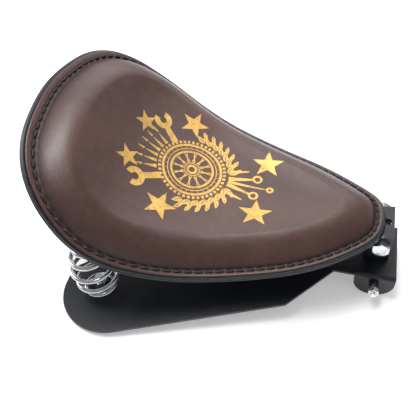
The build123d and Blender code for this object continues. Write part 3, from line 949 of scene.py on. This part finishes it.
# ------------------------------------------------------------------ springs
class SEAT_OT_springs(bpy.types.Operator):
    """Chromed barrel springs, closed and ground at both ends"""

    bl_idname = "seat.springs"
    bl_label = "Springs"

    def execute(self, context):
        coil = context.scene.seat_springs
        finish = chrome()
        for side_name, start_turn in (("left", -coil.start_turn), ("right", coil.start_turn)):
            low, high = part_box(f"spring_{side_name}")
            centre = (low + high) / 2
            ground = 0.45 * coil.wire
            height = high.z - low.z - 2 * coil.wire + 2 * ground
            rings = []
            rows = round(coil.turns * coil.steps)
            for row in range(rows + 1):
                share = row / rows
                turn = start_turn + 2 * math.pi * coil.turns * share
                rise = share - 0.3 * math.sin(2 * math.pi * share) / (2 * math.pi)
                reach = coil.end_coil + (coil.middle_coil - coil.end_coil) * math.sin(math.pi * share) ** 1.1
                out = Vector((math.cos(turn), math.sin(turn), 0))
                hub = Vector((centre.x, centre.y, low.z + coil.wire - ground + height * rise))
                ring = []
                for at in range(16):
                    angle = 2 * math.pi * at / 16
                    point = hub + out * (reach + coil.wire * math.cos(angle))
                    level = point.z + coil.wire * math.sin(angle)
                    ring.append((point.x, point.y, min(max(level, low.z), high.z)))
                rings.append(ring)
            shape = Shape()
            shape.loft(rings)
            spring = shape.make(f"chrome_spring_{side_name}", sharp=50)
            dress(spring, finish)
            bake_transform(spring)
            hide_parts(f"spring_{side_name}")
        return {"FINISHED"}


# ------------------------------------------------------------------ fasteners
Screw = namedtuple("Screw", "radius shank pitch flats")
M6 = Screw(3 * MM, 2.95 * MM, 1 * MM, 10 * MM)
M8 = Screw(4 * MM, 3.9 * MM, 1.25 * MM, 13 * MM)
M10 = Screw(5 * MM, 4.95 * MM, 1.5 * MM, 16 * MM)
BURIED = 0.5 * MM


def facing(origin, axis, corner=(1, 0, 0)):
    """A matrix that stands Z on an axis and turns X to a corner of the hexagon."""
    up = Vector(axis).normalized()
    across = Vector(corner)
    across = (across - up * across.dot(up)).normalized()
    beside = up.cross(across)
    turned = Matrix((across, beside, up)).transposed().to_4x4()
    return Matrix.Translation(origin) @ turned


def add_bolt(shape, screw, origin, axis, head, length, cut):
    """A bolt: head behind the origin, shank along the axis, threaded over its last part."""
    add_hex(shape, facing(origin, -Vector(axis)), screw.flats, head)
    place = facing(origin, axis)
    add_rod(shape, place, screw.shank, -BURIED, length - cut)
    add_thread(shape, place, screw.radius, screw.pitch, length - cut, length)


def add_nut(shape, screw, place, height):
    """A nut with both ends turned and countersunk."""
    add_hex(shape, place, screw.flats, height, bore=screw.radius - 0.1 * MM, both_ends=True)


class SEAT_OT_fasteners(bpy.types.Operator):
    """Bolts and nuts with turned heads and cut threads"""

    bl_idname = "seat.fasteners"
    bl_label = "Fasteners"

    def execute(self, context):
        bright = zinc("bright_zinc", (0.80, 0.82, 0.85), 0.16)
        left, right, up, down = (0, 1, 0), (0, -1, 0), (0, 0, 1), (0, 0, -1)

        def keep(shape, name, node, body):
            piece = shape.make(name, sharp=34)
            dress(piece, bright, body)
            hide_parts(node)

        low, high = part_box("hinge_bolt")
        shape = Shape()
        head = 6.4 * MM
        add_bolt(shape, M10, (HINGE.x, low.y + head, HINGE.z), left, head, high.y - low.y - head, 13 * MM)
        keep(shape, "hinge_pin_bolt", "hinge_bolt", "seat")

        low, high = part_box("hinge_nut")
        shape = Shape()
        add_nut(shape, M10, facing((HINGE.x, low.y, HINGE.z), left), high.y - low.y)
        keep(shape, "hinge_lock_nut", "hinge_nut", "seat")

        low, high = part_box("frame_bolt")
        axis = (low + high) / 2
        shape = Shape()
        head = 4 * MM
        add_bolt(shape, M6, (axis.x, high.y - head, axis.z), right, head, high.y - low.y - head, 18 * MM)
        keep(shape, "frame_cross_bolt", "frame_bolt", "base")

        low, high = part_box("frame_bolt_nut")
        shape = Shape()
        add_nut(shape, M6, facing((axis.x, high.y, axis.z), right), high.y - low.y)
        keep(shape, "frame_cross_nut", "frame_bolt_nut", "base")

        spring = sum(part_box("spring_left"), Vector()) / 2
        sides = (-spring.y, spring.y)

        low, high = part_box("lower_spring_studs")
        shape = Shape()
        bare = 8.5 * MM
        for side in sides:
            place = facing((spring.x, side, low.z), up)
            add_rod(shape, place, M8.shank, 0, bare)
            add_thread(shape, place, M8.radius, M8.pitch, bare, high.z - low.z)
        keep(shape, "spring_studs", "lower_spring_studs", "base")

        low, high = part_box("lower_spring_nuts")
        shape = Shape()
        for side in sides:
            add_nut(shape, M8, facing((spring.x, side, low.z), up), high.z - low.z)
        keep(shape, "lower_nuts", "lower_spring_nuts", "base")

        low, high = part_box("upper_spring_nuts")
        shape = Shape()
        for side in sides:
            add_nut(shape, M8, facing((spring.x, side, high.z), down), high.z - low.z)
        keep(shape, "upper_nuts", "upper_spring_nuts", "seat")

        low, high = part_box("upper_spring_bolts")
        shape = Shape()
        head = 3 * MM
        for side in sides:
            origin = (spring.x, side, high.z - head)
            add_bolt(shape, M8, origin, down, head, high.z - low.z - head, 12 * MM)
        keep(shape, "upper_bolts", "upper_spring_bolts", "seat")

        bolts, nuts = Shape(), Shape()
        for back in (25 * MM, 43 * MM):
            slope = float(pan_slope(np.array(back)))
            normal = Vector((math.sin(slope), 0, math.cos(slope)))
            under = Vector(on_pan(np.array(back), np.array(0.0), -PAN_WALL - LINING_WALL - 3 * MM))
            over = Vector(on_pan(np.array(back), np.array(0.0), 0.1 * MM))
            add_hex(bolts, facing(under, -normal, left), M6.flats, 4 * MM)
            place = facing(under, normal, left)
            add_thread(bolts, place, M6.radius, M6.pitch, -BURIED, 15.6 * MM)
            add_nut(nuts, M6, facing(over, normal, left), 5 * MM)
        keep(bolts, "bracket_cap_bolts", "bracket_bolts", "seat")
        keep(nuts, "bracket_lock_nuts", "bracket_nuts", "seat")
        return {"FINISHED"}


# ------------------------------------------------------------------ finishes of the frame's own pieces
def soften(node, width):
    """Breaks a piece's sharp edges."""
    weld = node.modifiers.new("weld", "WELD")
    weld.merge_threshold = 10 * MERGE
    bevel = node.modifiers.new("broken_edges", "BEVEL")
    bevel.width = width
    bevel.segments = 2
    bevel.limit_method = "ANGLE"
    bevel.angle_limit = math.radians(40)
    bevel.harden_normals = True


class SEAT_OT_metalwork(bpy.types.Operator):
    """Finishes of the plate, hinge, pan, lining and spring seats"""

    bl_idname = "seat.metalwork"
    bl_label = "Metalwork"

    def execute(self, context):
        plate_coat = satin_black("plate_powder_coat", (0.0045, 0.0060, 0.0105), 0.42)
        pan_coat = satin_black("pan_paint", (0.020, 0.022, 0.027), 0.34)
        steel = satin_black("bracket_coat", (0.0075, 0.0092, 0.0140), 0.38)
        bronze = brushed_steel("bush_bronze", (0.16, 0.12, 0.08), (1, 0.08, 1))
        plain_zinc = zinc("plain_zinc", (0.66, 0.68, 0.70), 0.22)
        hide = black_leather()
        finishes = {
            "base_plate": plate_coat,
            "hinge_upright": steel,
            "hinge_bush": bronze,
            "frame_bolt_washer": plain_zinc,
            "frame_bolt_spacer": plate_coat,
            "lower_spring_spigots": plate_coat,
            "upper_spring_spigots": plate_coat,
            "hinge_bracket": steel,
            "spring_perches": plate_coat,
            "hinge_washer": plain_zinc,
            "seat_pan": pan_coat,
            "underside_lining": hide,
        }
        for name, finish in finishes.items():
            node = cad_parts[name]
            node.data.materials.clear()
            node.data.materials.append(finish)
            soften(node, BROKEN_EDGE)
        return {"FINISHED"}


# ------------------------------------------------------------------ stage
VIEW_FROM = (-0.0683, -0.3681, 0.4472)
VIEW_RIGHT = (0.9655, 0.2554, -0.0506)
VIEW_UP = (-0.1556, 0.7219, 0.6742)
VIEW_BACK = (0.2088, -0.6431, 0.7367)
EAR_RADIUS = 20.5 * MM


def soft_box(name, place, aim, size, power):
    """A square area light that faces a point."""
    light = bpy.data.lights.new(name, "AREA")
    light.shape = "RECTANGLE"
    light.size, light.size_y = size
    light.energy = power
    holder = bpy.data.objects.new(name, light)
    holder.location = place
    holder.rotation_mode = "QUATERNION"
    holder.rotation_quaternion = (Vector(aim) - Vector(place)).to_track_quat("-Z", "Y")
    bpy.context.scene.collection.objects.link(holder)


class SEAT_OT_stage(bpy.types.Operator):
    """Pale floor under the plate, soft light and the camera"""

    bl_idname = "seat.stage"
    bl_label = "Stage"

    def execute(self, context):
        stage = context.scene.seat_stage
        scene = context.scene
        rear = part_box("base_plate")[0].x
        ear_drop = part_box("base_plate")[0].z
        ear_centre = ear_drop + EAR_RADIUS
        reach = math.hypot(rear, ear_centre)
        tilt = math.asin(EAR_RADIUS / reach) - math.atan2(ear_centre, -rear)
        side = 3.0
        shape = Shape()
        corners = [(-side, -side, 0), (side, -side, 0), (side, side, 0), (-side, side, 0)]
        shape.points = [Vector(corner) for corner in corners]
        shape.faces = [(0, 1, 2, 3)]
        floor = shape.make("floor")
        floor.location = (rear, 0, 0)
        floor.rotation_euler = (0, tilt, 0)
        dress(floor, studio_paper(stage.floor))

        world = bpy.data.worlds.new("studio")
        world.use_nodes = True
        world.node_tree.nodes["Background"].inputs["Color"].default_value = (1, 1, 1, 1)
        world.node_tree.nodes["Background"].inputs["Strength"].default_value = stage.sky
        scene.world = world
        scene.view_settings.view_transform = "Standard"

        middle = (-0.16, 0, 0.03)
        soft_box("key_box", (-0.40, 0.12, 1.25), middle, (0.9, 0.4), stage.key)
        soft_box("back_box", (-0.1, 1.3, 0.85), middle, (1.6, 0.7), stage.back)
        soft_box("side_strip", (-1.25, 0.1, 0.35), middle, (0.25, 0.9), stage.side)

        camera = bpy.data.cameras.new("camera")
        camera.lens = stage.lens
        camera.sensor_width = 36
        camera.clip_start = 0.01
        viewer = bpy.data.objects.new("camera", camera)
        turned = Matrix((VIEW_RIGHT, VIEW_UP, VIEW_BACK)).transposed().to_4x4()
        viewer.matrix_world = Matrix.Translation(VIEW_FROM) @ turned
        scene.collection.objects.link(viewer)
        scene.camera = viewer
        return {"FINISHED"}


class SEAT_PT_workshop(bpy.types.Panel):
    """Every step of the seat, in order"""

    bl_label = "Solo seat"
    bl_idname = "SEAT_PT_workshop"
    bl_space_type = "VIEW_3D"
    bl_region_type = "UI"
    bl_category = "Solo seat"

    def draw(self, context):
        for step in STEPS:
            self.layout.operator(step.bl_idname)
        for name in SETTINGS:
            box = self.layout.box()
            group = getattr(context.scene, name)
            for key in group.bl_rna.properties.keys():
                if key not in ("rna_type", "name"):
                    box.prop(group, key)


SETTINGS = {
    "seat_leather": SeatLeather,
    "seat_lacing": SeatLacing,
    "seat_print": SeatPrint,
    "seat_springs": SeatSprings,
    "seat_stage": SeatStage,
}
STEPS = [
    SEAT_OT_stage,
    SEAT_OT_cushion,
    SEAT_OT_lacing,
    SEAT_OT_hem,
    SEAT_OT_foil_print,
    SEAT_OT_springs,
    SEAT_OT_fasteners,
    SEAT_OT_metalwork,
]


def register():
    for kind in [*SETTINGS.values(), *STEPS, SEAT_PT_workshop]:
        bpy.utils.register_class(kind)
    for name, kind in SETTINGS.items():
        setattr(bpy.types.Scene, name, PointerProperty(type=kind))


def unregister():
    for name in SETTINGS:
        delattr(bpy.types.Scene, name)
    for kind in reversed([*SETTINGS.values(), *STEPS, SEAT_PT_workshop]):
        bpy.utils.unregister_class(kind)


def main():
    """Builds every piece."""
    register()
    for step in STEPS:
        group, name = step.bl_idname.split(".")
        getattr(getattr(bpy.ops, group), name)()


if __name__ == "__main__":
    main()
